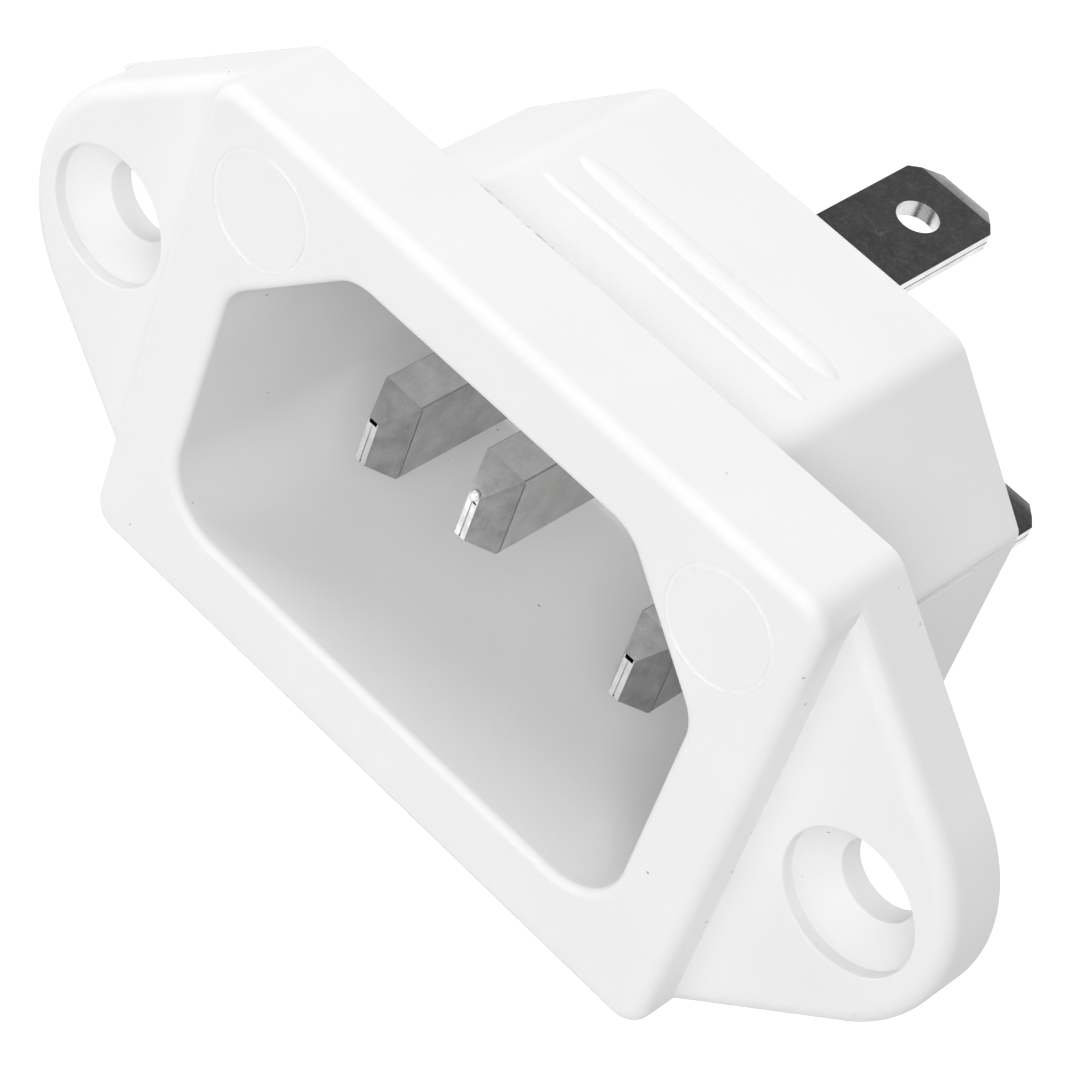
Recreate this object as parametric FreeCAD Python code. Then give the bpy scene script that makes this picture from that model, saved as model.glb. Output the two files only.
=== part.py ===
"""Panel-mount appliance inlet: a moulded housing with a six-sided plug cavity, and three
folded blade contacts whose solder and quick-connect tabs stand out behind it.

Millimetres. +X runs along the line of the two screw holes, -Y is the mating front,
+Y points into the panel and +Z is the earth side, where the cavity has its two sloped corners.
The origin is midway between the screw holes, on the back of the flange, which rests on the panel.
"""
import FreeCAD, Part
import math
import os

from FreeCAD import Vector

# Flange and its two screw ears
hole_spacing = 40.0
ear_radius = 7.2
ear_setback = 2.9           # from a screw hole inwards to the centre of its ear's arc
flange_thickness = 3.0
flange_edge_round = 0.8
ear_lip_reach = 1.86        # how far the left ear's upper edge runs straight on past its arc, by the panel
ear_lip_depth = 0.3
ear_lip_root = 0.5          # how far the lip's foot reaches into the flange

# Countersunk screw holes
screw_hole_diameter = 3.4
head_recess_diameter = 6.0
head_recess_lip = 0.55      # straight part at the mouth of the recess
head_cone_depth = 1.3

# Raised bezel round the cavity
bezel_width = 31.1
bezel_height = 23.7
bezel_corner_radius = 1.3
bezel_rise = 1.8            # how far the bezel stands in front of the flange
bezel_edge_round = 0.45
roundel_radius = 2.5        # shallow blank rings on the bezel's two upper corners
roundel_line_width = 0.22
roundel_line_depth = 0.08
roundel_inset_x = 3.7
roundel_inset_z = 3.9

# Plug cavity
cavity_width = 24.55
cavity_height = 16.55
cavity_lift = 0.18          # its centre stands this much above the line of the screw holes
cavity_slope = 5.15         # the two upper corners are cut at 45 degrees
cavity_slope_radius = 2.1   # at both ends of the sloped corners
cavity_foot_radius = 2.8    # at the two lower corners
cavity_mouth_round = 0.25

# Walls of the body behind the panel
body_depth = 12.9
rear_wall = 2.0
end_wall = 1.15
top_wall = 1.33
slope_wall = 1.46
body_crest_radius = 1.4     # between the top and the sloped corners
body_shoulder_radius = 0.6  # between the sloped corners and the end faces
body_foot_radius = 1.0
end_pad_thickness = 0.12    # low pads on the end faces that fill the panel's cut-out
end_pad_length = 10.0
end_pad_upper_margin = 0.3  # from the pads up to the sloped corners
end_pad_lower_margin = 1.2  # from the pads down to the rounding of the body's foot

# Two low ribs across the top of the body
rib_end_margin = 0.85       # from the ribs' ends to the edges of the flat top
rib_root = 0.5              # how far a rib's foot reaches into the body
front_rib_place = 4.75      # behind the flange
front_rib_width = 0.5
front_rib_height = 0.15
rear_rib_place = 6.7
rear_rib_width = 0.95
rear_rib_height = 0.3

# Contact blades
pole_pitch = 14.0           # between the two current-carrying blades
pole_line_z = -2.2
earth_offset = 4.0          # the earth blade stands this much above the other two
blade_height = 4.0
blade_width = 2.0           # two thicknesses of the folded sheet
pole_tip_setback = 4.35     # from the bezel's front face back to the blade's tip
earth_tip_setback = 1.45
tip_length = 1.4
tip_width = 0.5
tip_height = 2.24
slot_clearance = 0.05       # all round a blade where it passes through the rear wall

# Tabs behind the housing
tab_width = 4.6
tab_thickness = 0.8
tab_bend_radius = 0.4       # inside of the bend
pole_tab_drop = 2.2         # from the lower edge of a pole's blade down to the middle of its tab
earth_tab_rise = 1.05       # from the upper edge of the earth blade up to the middle of its tab
pole_tab_length = 12.85     # from the rear face of the body to the end of the tab
earth_tab_length = 12.1
tab_corner_x = 1.05
tab_corner_y = 1.25
tab_bevel_length = 0.78
tab_bevel_rise = 0.25
tab_hole_diameter = 1.85
tab_hole_setback = 3.27

# Places that follow from the sizes above
flange_front = -flange_thickness
bezel_front = flange_front - bezel_rise
cavity_floor = body_depth - rear_wall
cavity_half = cavity_width / 2
cavity_top = cavity_lift + cavity_height / 2
cavity_bottom = cavity_lift - cavity_height / 2
body_half = cavity_half + end_wall
body_top = cavity_top + top_wall
body_bottom = cavity_bottom - top_wall
body_slope = cavity_slope + end_wall + top_wall - slope_wall * math.sqrt(2)
hole_x = hole_spacing / 2
ear_x = hole_x - ear_setback
bezel_half = bezel_width / 2
bezel_top = bezel_height / 2
pole_x = pole_pitch / 2
earth_line_z = pole_line_z + earth_offset
pole_tab_z = pole_line_z - blade_height / 2 - pole_tab_drop
earth_tab_z = earth_line_z + blade_height / 2 + earth_tab_rise
SIDES = (-1, 1)
INTO_PANEL = Vector(0, 1, 0)
OVERCUT = 1.0               # how far a cutting shape runs past the faces that it cuts
LARGEST_ROUND = 0.7         # the share of a wall that the rounding of its edge may take
SAME_PLANE = 0.0001
LOOSE_BOX = 0.1             # an arc's bounding box may be this much too large


def point(x, y, z):
    return Vector(x, y, z)


def rounded_outline(corners, y):
    """Closed wire in the plane at y. Each corner is (x, z, radius) and turns by a tangent arc."""
    count = len(corners)
    edges = []
    ends = []
    for index, (x, z, radius) in enumerate(corners):
        here = point(x, y, z)
        before = point(corners[index - 1][0], y, corners[index - 1][1])
        after = point(corners[(index + 1) % count][0], y, corners[(index + 1) % count][1])
        to_before = (before - here).normalize()
        to_after = (after - here).normalize()
        half_angle = to_before.getAngle(to_after) / 2
        reach = radius / math.tan(half_angle)
        start = here + to_before * reach
        end = here + to_after * reach
        toward_centre = (to_before + to_after).normalize()
        middle = here + toward_centre * (radius / math.sin(half_angle) - radius)
        edges.append(Part.Arc(start, middle, end).toShape())
        ends.append((start, end))
    lines = []
    for index in range(count):
        leave = ends[index][1]
        arrive = ends[(index + 1) % count][0]
        lines.append(Part.LineSegment(leave, arrive).toShape())
    ordered = [edge for pair in zip(edges, lines) for edge in pair]
    return Part.Wire(ordered)


def extrude_outline(wire, depth):
    return Part.Face(wire).extrude(INTO_PANEL * depth)


def edges_at(shape, y, keep=lambda edge: True):
    """Edges that lie wholly in the plane at y."""
    found = []
    for edge in shape.Edges:
        box = edge.BoundBox
        if abs(box.YMin - y) < SAME_PLANE and abs(box.YMax - y) < SAME_PLANE and keep(edge):
            found.append(edge)
    return found


def ear_tangent():
    """Unit normal of the straight edge that runs from a bezel corner to the ear's arc, upper right."""
    corner_x = bezel_half - bezel_corner_radius
    corner_z = bezel_top - bezel_corner_radius
    run_x = ear_x - corner_x
    run_z = -corner_z
    run = math.hypot(run_x, run_z)
    turn = math.acos((bezel_corner_radius - ear_radius) / run)
    angle = math.atan2(run_z, run_x) + turn
    return math.cos(angle), math.sin(angle)


def flange_points():
    """Where the flange outline leaves a bezel corner and where it joins the ear, upper right."""
    normal_x, normal_z = ear_tangent()
    corner = (bezel_half - bezel_corner_radius + bezel_corner_radius * normal_x,
              bezel_top - bezel_corner_radius + bezel_corner_radius * normal_z)
    ear = (ear_x + ear_radius * normal_x, ear_radius * normal_z)
    return corner, ear


def corner_arc(side, upper, y):
    """Arc round one bezel corner, between the flat edge and the edge that runs to the ear."""
    (corner_x, corner_z), _ = flange_points()
    centre_x = bezel_half - bezel_corner_radius
    centre_z = bezel_top - bezel_corner_radius
    end_angle = math.atan2(corner_z - centre_z, corner_x - centre_x)
    mid_angle = (end_angle + math.pi / 2) / 2
    mid_x = centre_x + bezel_corner_radius * math.cos(mid_angle)
    mid_z = centre_z + bezel_corner_radius * math.sin(mid_angle)
    return Part.Arc(point(side * centre_x, y, upper * bezel_top),
                    point(side * mid_x, y, upper * mid_z),
                    point(side * corner_x, y, upper * corner_z)).toShape()


def flange_outline(y):
    """Rounded rhombus: flat top and bottom, corners shared with the bezel, and two round ears."""
    (corner_x, corner_z), (joint_x, joint_z) = flange_points()
    flat_x = bezel_half - bezel_corner_radius
    ear_end = ear_x + ear_radius
    edges = []
    for side in SIDES:
        edges.append(Part.Arc(point(side * joint_x, y, joint_z), point(side * ear_end, y, 0),
                              point(side * joint_x, y, -joint_z)).toShape())
        for upper in SIDES:
            edges.append(corner_arc(side, upper, y))
            edges.append(Part.LineSegment(point(side * corner_x, y, upper * corner_z),
                                          point(side * joint_x, y, upper * joint_z)).toShape())
    for upper in SIDES:
        edges.append(Part.LineSegment(point(-flat_x, y, upper * bezel_top),
                                      point(flat_x, y, upper * bezel_top)).toShape())
    return Part.Wire(Part.__sortEdges__(edges))


def flange_plate():
    """Flange with its rim rounded towards the front."""
    plate = extrude_outline(flange_outline(flange_front), flange_thickness)
    land = ear_radius + ear_x - hole_x - head_recess_diameter / 2
    radius = min(flange_edge_round, LARGEST_ROUND * land, LARGEST_ROUND * flange_thickness)
    return plate.makeFillet(radius, edges_at(plate, flange_front))


def left_ear_lip():
    """Lip where the left ear's sloped upper edge runs straight on past the arc, on the panel side."""
    _, (joint_x, joint_z) = flange_points()
    normal_x, normal_z = ear_tangent()
    outer = [(-joint_x - normal_z * along, joint_z - normal_x * along)
             for along in (-ear_lip_root, ear_lip_reach)]
    inner = [(x + normal_x * ear_lip_root, z - normal_z * ear_lip_root) for x, z in outer]
    corners = [inner[0], inner[1], outer[1], outer[0]]
    wire = Part.makePolygon([point(x, -ear_lip_depth, z) for x, z in corners + corners[:1]])
    return extrude_outline(wire, ear_lip_depth)


def bezel_column():
    """Bezel, carried back through the flange so that the two share their corners."""
    corners = [(side_x * bezel_half, side_z * bezel_top, bezel_corner_radius)
               for side_x, side_z in ((-1, 1), (1, 1), (1, -1), (-1, -1))]
    column = extrude_outline(rounded_outline(corners, bezel_front), -bezel_front)
    radius = min(bezel_edge_round, LARGEST_ROUND * bezel_corner_radius, LARGEST_ROUND * bezel_rise)
    return column.makeFillet(radius, edges_at(column, bezel_front))


def six_sided_outline(half, top, bottom, slope, crest, shoulder, foot):
    """Corners of an outline whose two upper corners are cut at 45 degrees, with their radii."""
    return [(-half + slope, top, crest), (half - slope, top, crest), (half, top - slope, shoulder),
            (half, bottom, foot), (-half, bottom, foot), (-half, top - slope, shoulder)]


def body_block():
    """Six-sided body behind the panel, with low pads on its end faces."""
    corners = six_sided_outline(body_half, body_top, body_bottom, body_slope,
                                body_crest_radius, body_shoulder_radius, body_foot_radius)
    overlap = flange_thickness / 2
    block = extrude_outline(rounded_outline(corners, -overlap), body_depth + overlap)
    pad_half = body_half + end_pad_thickness
    pad_low = body_bottom + body_foot_radius + end_pad_lower_margin
    pad_high = body_top - body_slope - end_pad_upper_margin
    pads = Part.makeBox(2 * pad_half, end_pad_length + overlap, pad_high - pad_low,
                        point(-pad_half, -overlap, pad_low))
    return block.fuse(pads)


def top_rib(place, width, height):
    """Low round-backed rib across the top face of the body."""
    rib_half = body_half - body_slope - rib_end_margin
    radius = (width * width / 4 + height * height) / (2 * height)
    axis_z = body_top + height - radius
    bar = Part.makeCylinder(radius, 2 * rib_half, point(-rib_half, place, axis_z), Vector(1, 0, 0))
    above = Part.makeBox(2 * rib_half, 2 * radius, height + rib_root,
                         point(-rib_half, place - radius, body_top - rib_root))
    return bar.common(above)


def cavity_space():
    corners = six_sided_outline(cavity_half, cavity_top, cavity_bottom, cavity_slope,
                                cavity_slope_radius, cavity_slope_radius, cavity_foot_radius)
    return extrude_outline(rounded_outline(corners, bezel_front), cavity_floor - bezel_front)


def screw_hole(side):
    """Countersunk hole: clear way for the head, straight mouth, cone, then a plain bore."""
    x = side * hole_x
    recess_radius = head_recess_diameter / 2
    bore_radius = screw_hole_diameter / 2
    start = bezel_front - OVERCUT
    cone_start = flange_front + head_recess_lip
    bore = Part.makeCylinder(bore_radius, OVERCUT - start, point(x, start, 0), INTO_PANEL)
    mouth = Part.makeCylinder(recess_radius, cone_start - start, point(x, start, 0), INTO_PANEL)
    seat = Part.makeCone(recess_radius, bore_radius, head_cone_depth, point(x, cone_start, 0), INTO_PANEL)
    return bore.fuse([mouth, seat])


def roundel_groove(side):
    """Blank ring, no deeper than a mould mark, on an upper corner of the bezel."""
    centre = point(side * (bezel_half - roundel_inset_x), bezel_front - OVERCUT, bezel_top - roundel_inset_z)
    length = OVERCUT + roundel_line_depth
    outer = Part.makeCylinder(roundel_radius, length, centre, INTO_PANEL)
    inner = Part.makeCylinder(roundel_radius - roundel_line_width, length, centre, INTO_PANEL)
    return outer.cut(inner)


def blade_slot(x, z):
    """Opening in the rear wall that a blade passes through."""
    width = blade_width + 2 * slot_clearance
    height = blade_height + 2 * slot_clearance
    return Part.makeBox(width, rear_wall + 2 * OVERCUT, height,
                        point(x - width / 2, cavity_floor - OVERCUT, z - height / 2))


def round_cavity_mouth(shape):
    """Break the sharp edge where the cavity meets the bezel's front face."""
    half = cavity_half + LOOSE_BOX

    def is_mouth(edge):
        box = edge.BoundBox
        inside_x = box.XMin > -half and box.XMax < half
        inside_z = box.ZMin > cavity_bottom - LOOSE_BOX and box.ZMax < cavity_top + LOOSE_BOX
        return inside_x and inside_z

    return shape.makeFillet(cavity_mouth_round, edges_at(shape, bezel_front, is_mouth))


def housing():
    shape = flange_plate().fuse([bezel_column(), left_ear_lip(), body_block(),
                                 top_rib(front_rib_place, front_rib_width, front_rib_height),
                                 top_rib(rear_rib_place, rear_rib_width, rear_rib_height)])
    shape = shape.removeSplitter()
    shape = shape.cut(cavity_space())
    shape = round_cavity_mouth(shape)
    cuts = [screw_hole(side) for side in SIDES]
    cuts += [roundel_groove(side) for side in SIDES]
    cuts += [blade_slot(side * pole_x, pole_line_z) for side in SIDES]
    cuts.append(blade_slot(0, earth_line_z))
    return shape.cut(cuts)


def blade(x, z, tip_y):
    """Flat blade with a tip that narrows on all four sides."""
    half_width = blade_width / 2
    half_height = blade_height / 2
    shank_y = tip_y + tip_length
    shank = Part.makeBox(blade_width, body_depth - shank_y, blade_height,
                         point(x - half_width, shank_y, z - half_height))
    tip = Part.makeWedge(-tip_width / 2, 0, -tip_height / 2, -half_height, -half_width,
                         tip_width / 2, tip_length, tip_height / 2, half_height, half_width,
                         point(x, tip_y, z))
    return shank.fuse(tip)


def tab_sheet(x, z, tab_z, length):
    """Sheet that stands against the rear face, then bends back into the tab."""
    outer_radius = tab_bend_radius + tab_thickness
    away = 1 if tab_z > z else -1
    near = body_depth
    far = body_depth + length
    root_z = z - away * blade_height / 2
    outer_z = tab_z + away * tab_thickness / 2
    inner_z = tab_z - away * tab_thickness / 2
    left = x - tab_width / 2
    quarter = math.sqrt(0.5)
    bend_y = near + outer_radius
    bend_z = outer_z - away * outer_radius
    outer_mid = (bend_y - outer_radius * quarter, bend_z + away * outer_radius * quarter)
    inner_mid = (bend_y - tab_bend_radius * quarter, bend_z + away * tab_bend_radius * quarter)

    def at(y, height):
        return point(left, y, height)

    edges = [Part.LineSegment(at(near, root_z), at(near, bend_z)),
             Part.Arc(at(near, bend_z), at(*outer_mid), at(bend_y, outer_z)),
             Part.LineSegment(at(bend_y, outer_z), at(far, outer_z)),
             Part.LineSegment(at(far, outer_z), at(far, inner_z)),
             Part.LineSegment(at(far, inner_z), at(bend_y, inner_z)),
             Part.Arc(at(bend_y, inner_z), at(*inner_mid), at(near + tab_thickness, bend_z)),
             Part.LineSegment(at(near + tab_thickness, bend_z), at(near + tab_thickness, root_z)),
             Part.LineSegment(at(near + tab_thickness, root_z), at(near, root_z))]
    wire = Part.Wire([edge.toShape() for edge in edges])
    return Part.Face(wire).extrude(Vector(tab_width, 0, 0))


def tab_corner_cuts(x, tab_z, length):
    """What is cut from the tab: two corners and two bevels at its end, and the wire hole."""
    end = body_depth + length
    cuts = []
    for side in SIDES:
        edge = x + side * tab_width / 2
        corner = [(edge - side * tab_corner_x, end + OVERCUT), (edge - side * tab_corner_x, end),
                  (edge, end - tab_corner_y), (edge + side * OVERCUT, end - tab_corner_y),
                  (edge + side * OVERCUT, end + OVERCUT)]
        wire = Part.makePolygon([point(px, py, tab_z - OVERCUT) for px, py in corner + corner[:1]])
        cuts.append(Part.Face(wire).extrude(Vector(0, 0, 2 * OVERCUT)))
        face_z = tab_z + side * tab_thickness / 2
        bevel = [(end - tab_bevel_length, face_z), (end, face_z - side * tab_bevel_rise),
                 (end + OVERCUT, face_z - side * tab_bevel_rise), (end + OVERCUT, face_z + side * OVERCUT),
                 (end - tab_bevel_length, face_z + side * OVERCUT)]
        wire = Part.makePolygon([point(x - tab_width, py, pz) for py, pz in bevel + bevel[:1]])
        cuts.append(Part.Face(wire).extrude(Vector(2 * tab_width, 0, 0)))
    hole = point(x, end - tab_hole_setback, tab_z - OVERCUT)
    cuts.append(Part.makeCylinder(tab_hole_diameter / 2, 2 * OVERCUT, hole, Vector(0, 0, 1)))
    return cuts


def contact(x, z, tip_setback, tab_z, tab_length):
    """One piece of folded sheet: blade, root against the rear face, and tab."""
    shape = blade(x, z, bezel_front + tip_setback).fuse(tab_sheet(x, z, tab_z, tab_length))
    return shape.removeSplitter().cut(tab_corner_cuts(x, tab_z, tab_length))


def solid_of(shape):
    """The one solid that a node is made of."""
    solids = shape.Solids
    if len(solids) != 1 or not solids[0].isValid():
        raise ValueError("a node must be one valid solid")
    return solids[0]


nodes = {
    "housing": housing(),
    "earth_contact": contact(0, earth_line_z, earth_tip_setback, earth_tab_z, earth_tab_length),
    "left_contact": contact(-pole_x, pole_line_z, pole_tip_setback, pole_tab_z, pole_tab_length),
    "right_contact": contact(pole_x, pole_line_z, pole_tip_setback, pole_tab_z, pole_tab_length),
}

os.makedirs("parts", exist_ok=True)
for name, shape in nodes.items():
    solid = solid_of(shape)
    solid.exportStep(f"parts/{name}.step")
    box = solid.BoundBox
    print(f"{name}: {solid.Volume:.1f} mm3, x {box.XMin:.2f} to {box.XMax:.2f}, "
          f"y {box.YMin:.2f} to {box.YMax:.2f}, z {box.ZMin:.2f} to {box.ZMax:.2f}")
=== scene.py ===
# %% [markdown]
# # A panel-mount appliance inlet
#
# This lesson builds the socket that sits in the wall of an appliance and takes its mains lead. The real
# object has four pieces: a white moulded housing that is screwed onto a panel, and three contacts folded
# from sheet metal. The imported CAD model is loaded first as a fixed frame. Every piece made here replaces
# one of its nodes and stands exactly where it stands, so looks and physics describe the same object.

import math

import bmesh
import bpy
from mathutils import Matrix, Quaternion, Vector


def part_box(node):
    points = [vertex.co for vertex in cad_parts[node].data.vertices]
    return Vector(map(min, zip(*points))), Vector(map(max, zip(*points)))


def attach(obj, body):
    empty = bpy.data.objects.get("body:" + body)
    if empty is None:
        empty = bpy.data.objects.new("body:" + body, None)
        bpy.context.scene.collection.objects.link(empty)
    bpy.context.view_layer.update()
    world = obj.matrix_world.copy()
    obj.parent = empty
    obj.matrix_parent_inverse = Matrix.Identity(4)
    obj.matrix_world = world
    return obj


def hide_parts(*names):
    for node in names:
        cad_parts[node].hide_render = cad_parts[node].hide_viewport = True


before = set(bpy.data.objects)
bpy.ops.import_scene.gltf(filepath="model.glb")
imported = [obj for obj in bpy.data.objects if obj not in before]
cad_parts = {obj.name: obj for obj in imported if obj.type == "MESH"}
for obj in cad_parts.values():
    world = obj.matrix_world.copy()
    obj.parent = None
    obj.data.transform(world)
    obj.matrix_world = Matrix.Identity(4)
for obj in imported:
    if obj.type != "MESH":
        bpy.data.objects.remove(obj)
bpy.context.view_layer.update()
scene = bpy.context.scene
MM = 0.001


def cad_box(node):
    """Lowest and highest corner of a CAD node in millimetres."""
    low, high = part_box(node)
    return Vector(low) / MM, Vector(high) / MM


print("CAD nodes:", sorted(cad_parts))

# %% [markdown]
# ## The camera
#
# The photograph looks down on the front from the right through a fairly long lens, and the object is
# turned in the picture. The camera was solved from the straight edges of the housing, so its place, its
# aim and the turn of the picture are plain numbers. The ratio of focal length to sensor width sets how
# much is seen.

# %% Camera
camera_place = Vector((57.203, -102.132, 111.688)) * MM
camera_aim = Vector((-0.143, 2.179, -2.505)) * MM
camera_turn = math.radians(21.711)


def looking(place, aim, turn=0.0):
    """Matrix of a thing that looks at its aim, turned about its line of sight."""
    level = (aim - place).to_track_quat("-Z", "Y")
    return Matrix.Translation(place) @ (level @ Quaternion((0, 0, 1), turn)).to_matrix().to_4x4()


camera = bpy.data.objects.new("camera", bpy.data.cameras.new("camera"))
scene.collection.objects.link(camera)
scene.camera = camera
camera.data.sensor_width = 36.0
camera.data.lens = 145.353
camera.data.clip_start = 10 * MM
camera.matrix_world = looking(camera_place, camera_aim, camera_turn)
print("camera is", round((camera_aim - camera_place).length / MM), "mm from what it looks at")

# %% [markdown]
# ## A taut band and a loft
#
# Nearly every outline on this moulding is a convex shape with round corners: the rhombus of the flange,
# the bezel, the six-sided body and its cavity. One picture covers them all: a band pulled taut round a
# few circles. When the band moves inwards the centres stay and only the radii shrink, so a rounded edge
# is a stack of such bands. Sizes are in millimetres, and the meshes are scaled to metres at the end.

# %% Outlines from circles
def corner_circles(corners):
    """Circles that touch both edges at each corner (x, z, radius) of a convex outline."""
    circles = []
    for index, (x, z, radius) in enumerate(corners):
        here = Vector((x, z))
        to_last = (Vector(corners[index - 1][:2]) - here).normalized()
        to_next = (Vector(corners[(index + 1) % len(corners)][:2]) - here).normalized()
        inward = (to_last + to_next).normalized()
        centre = here + inward * (radius / math.sin(to_last.angle(to_next) / 2))
        circles.append((centre.x, centre.y, radius))
    return circles


def band(circles, turn_degrees=5):
    """Points of a taut band, counter-clockwise: (centre x, centre z, radius, direction x, z)."""
    leaving = []
    for index, (x, z, radius) in enumerate(circles):
        next_x, next_z, next_radius = circles[(index + 1) % len(circles)]
        run = math.hypot(next_x - x, next_z - z)
        heading = math.atan2(next_z - z, next_x - x)
        leaving.append(heading - math.acos((radius - next_radius) / run))
    points = []
    for index, (x, z, radius) in enumerate(circles):
        start = leaving[index - 1]
        sweep = (leaving[index] - start) % (2 * math.pi)
        steps = max(1, round(math.degrees(sweep) / turn_degrees))
        for step in range(steps + 1):
            angle = start + sweep * step / steps
            points.append((x, z, radius, math.cos(angle), math.sin(angle)))
    return points


def turned(x, z, steps=96):
    """Points of a band that has shrunk onto one line along Y, for shapes turned on a lathe."""
    angles = [2 * math.pi * step / steps for step in range(steps)]
    return [(x, z, 0.0, math.cos(angle), math.sin(angle)) for angle in angles]


def rounding(y, inward, radius, steps=6):
    """Stations (y, inset) of a quarter round, from the end face at y into the side wall."""
    stations = []
    for step in range(steps + 1):
        angle = math.pi / 2 * step / steps
        stations.append((y + inward * radius * (1 - math.cos(angle)), radius * (1 - math.sin(angle))))
    return stations


def link(name, mesh):
    """New object at the origin, with its place in its mesh."""
    piece = bpy.data.objects.new(name, mesh)
    scene.collection.objects.link(piece)
    return piece


def as_object(name, shape, material=None):
    """New object from a shape made in mesh code, which is then let go."""
    mesh = bpy.data.meshes.new(name)
    shape.to_mesh(mesh)
    shape.free()
    if material:
        mesh.materials.append(material)
    return link(name, mesh)


def loft(name, points, stations, closed=False):
    """Shell through a band at several stations. A closed one joins its last station to the first."""
    shell = bmesh.new()
    rows = []
    for y, inset in stations:
        row = [shell.verts.new((x + (radius - inset) * across, y, z + (radius - inset) * up))
               for x, z, radius, across, up in points]
        rows.append(row)
    pairs = list(zip(rows, rows[1:]))
    if closed:
        pairs.append((rows[-1], rows[0]))
    else:
        shell.faces.new(rows[0])
        shell.faces.new(rows[-1])
    for near, far in pairs:
        for index in range(len(points)):
            shell.faces.new((near[index - 1], near[index], far[index], far[index - 1]))
    bmesh.ops.recalc_face_normals(shell, faces=shell.faces)
    return as_object(name, shell)


def rectangle(left, right, low, high):
    """Corners (x, z) of a rectangle, counter-clockwise."""
    return [(right, high), (left, high), (left, low), (right, low)]


def prism(name, corners, radius, stations, turn_degrees=5):
    """Shell along Y whose corners all have one radius."""
    circles = corner_circles([(x, z, radius) for x, z in corners])
    return loft(name, band(circles, turn_degrees), stations)


# %% [markdown]
# ## Joining and cutting
#
# A solid is put together as a toolmaker thinks of it: what is added comes first, then what is cut away.
# The Boolean modifier does both. It can take a whole collection, so one pass adds every part and a second
# one cuts every hole. The result is then read back as a plain mesh, and the helpers are deleted.

# %% Boolean passes
def settle(piece):
    """Turns what the modifiers show into the piece's own mesh, and removes them."""
    graph = bpy.context.evaluated_depsgraph_get()
    mesh = bpy.data.meshes.new_from_object(piece.evaluated_get(graph))
    piece.modifiers.clear()
    piece.data = mesh


def combine(piece, others, operation):
    """Adds the other shapes to the piece, or cuts them from it."""
    group = bpy.data.collections.new("operands")
    scene.collection.children.link(group)
    for other in others:
        scene.collection.objects.unlink(other)
        group.objects.link(other)
    boolean = piece.modifiers.new(operation.lower(), "BOOLEAN")
    boolean.operation = operation
    boolean.solver = "EXACT"
    boolean.material_mode = "TRANSFER"
    boolean.operand_type = "COLLECTION"
    boolean.collection = group
    settle(piece)
    for other in others:
        bpy.data.objects.remove(other)
    bpy.data.collections.remove(group)


# %% [markdown]
# ## Trees of nodes
#
# Geometry and shader trees are both lists of nodes and wires. One helper adds a node, sets its options
# and feeds its sockets, either with a plain value or with the output of another node. A few more name
# what occurs in nearly every tree: a sum, the parts of a vector, a ramp. That keeps each tree short.

# %% Node helpers
def feed(tree, node, feeds):
    """Feeds a node's sockets with values or with other nodes' outputs."""
    for socket, values in feeds.items():
        for value in values if isinstance(values, list) else [values]:
            if isinstance(value, bpy.types.Node):
                value = value.outputs[0]
            if isinstance(value, bpy.types.NodeSocket):
                tree.links.new(value, node.inputs[socket])
            else:
                node.inputs[socket].default_value = value


def put(tree, kind, feeds=None, **options):
    """Adds a node, sets its options and feeds its sockets."""
    node = tree.nodes.new(kind)
    for option, value in options.items():
        setattr(node, option, value)
    feed(tree, node, feeds or {})
    return node


def calculate(tree, operation, *values, kind="ShaderNodeMath"):
    """Result of an operation on one or two values."""
    return put(tree, kind, dict(enumerate(values)), operation=operation)


def split(tree, vector):
    """The x, y and z of a vector."""
    return put(tree, "ShaderNodeSeparateXYZ", {0: vector}).outputs


def ramp(tree, value, low, high, to_low=0.0, to_high=1.0, **options):
    """Value that goes from one level to another while its source goes from low to high."""
    feeds = {"Value": value, "From Min": low, "From Max": high, "To Min": to_low, "To Max": to_high}
    return put(tree, "ShaderNodeMapRange", feeds, **options)


def new_group(name, kind, inputs, outputs):
    """Empty node group with sockets listed by type, its inputs, and the node that takes its result."""
    tree = bpy.data.node_groups.new(name, kind)
    for way, sockets in (("INPUT", inputs), ("OUTPUT", outputs)):
        for socket_kind, titles in sockets.items():
            for title in titles:
                tree.interface.new_socket(title, in_out=way, socket_type="NodeSocket" + socket_kind)
    return tree, tree.nodes.new("NodeGroupInput").outputs, tree.nodes.new("NodeGroupOutput")


def grow(name, tree, values):
    """Piece made by a Geometry Nodes tree from named values, read back as a plain mesh."""
    piece = link(name, bpy.data.meshes.new(name))
    modifier = piece.modifiers.new(tree.name, "NODES")
    modifier.node_group = tree
    for item in tree.interface.items_tree:
        if item.in_out == "INPUT" and item.name in values:
            modifier[item.identifier] = values[item.name]
    settle(piece)
    return piece


# %% [markdown]
# ## The outside of the housing
#
# The housing is one moulding. Its flange is a rhombus with round ends, the ears that take the screws. The
# bezel in front of it is a rectangle that shares its top, bottom and corners. Behind the panel the body
# has a flat top and two sloped corners, which tell the earth side by touch. Where flange and bezel share
# a face, the flange stays two thousandths of a millimetre inside, because a Boolean works best on faces
# that don't lie in one plane.

# %% Flange, bezel and body
housing_low, housing_high = cad_box("housing")
bezel_front = housing_low.y
body_rear = housing_high.y
bezel_top = housing_high.z
flange_front = -3.0
flange_back = 0.0
bezel_half = 15.55
bezel_corner = 1.3
corner_x = bezel_half - bezel_corner
corner_z = bezel_top - bezel_corner
ear_radius = 7.2
ear_x = housing_high.x - ear_radius
SHY = 0.002
SIDES = (-1, 1)


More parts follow.
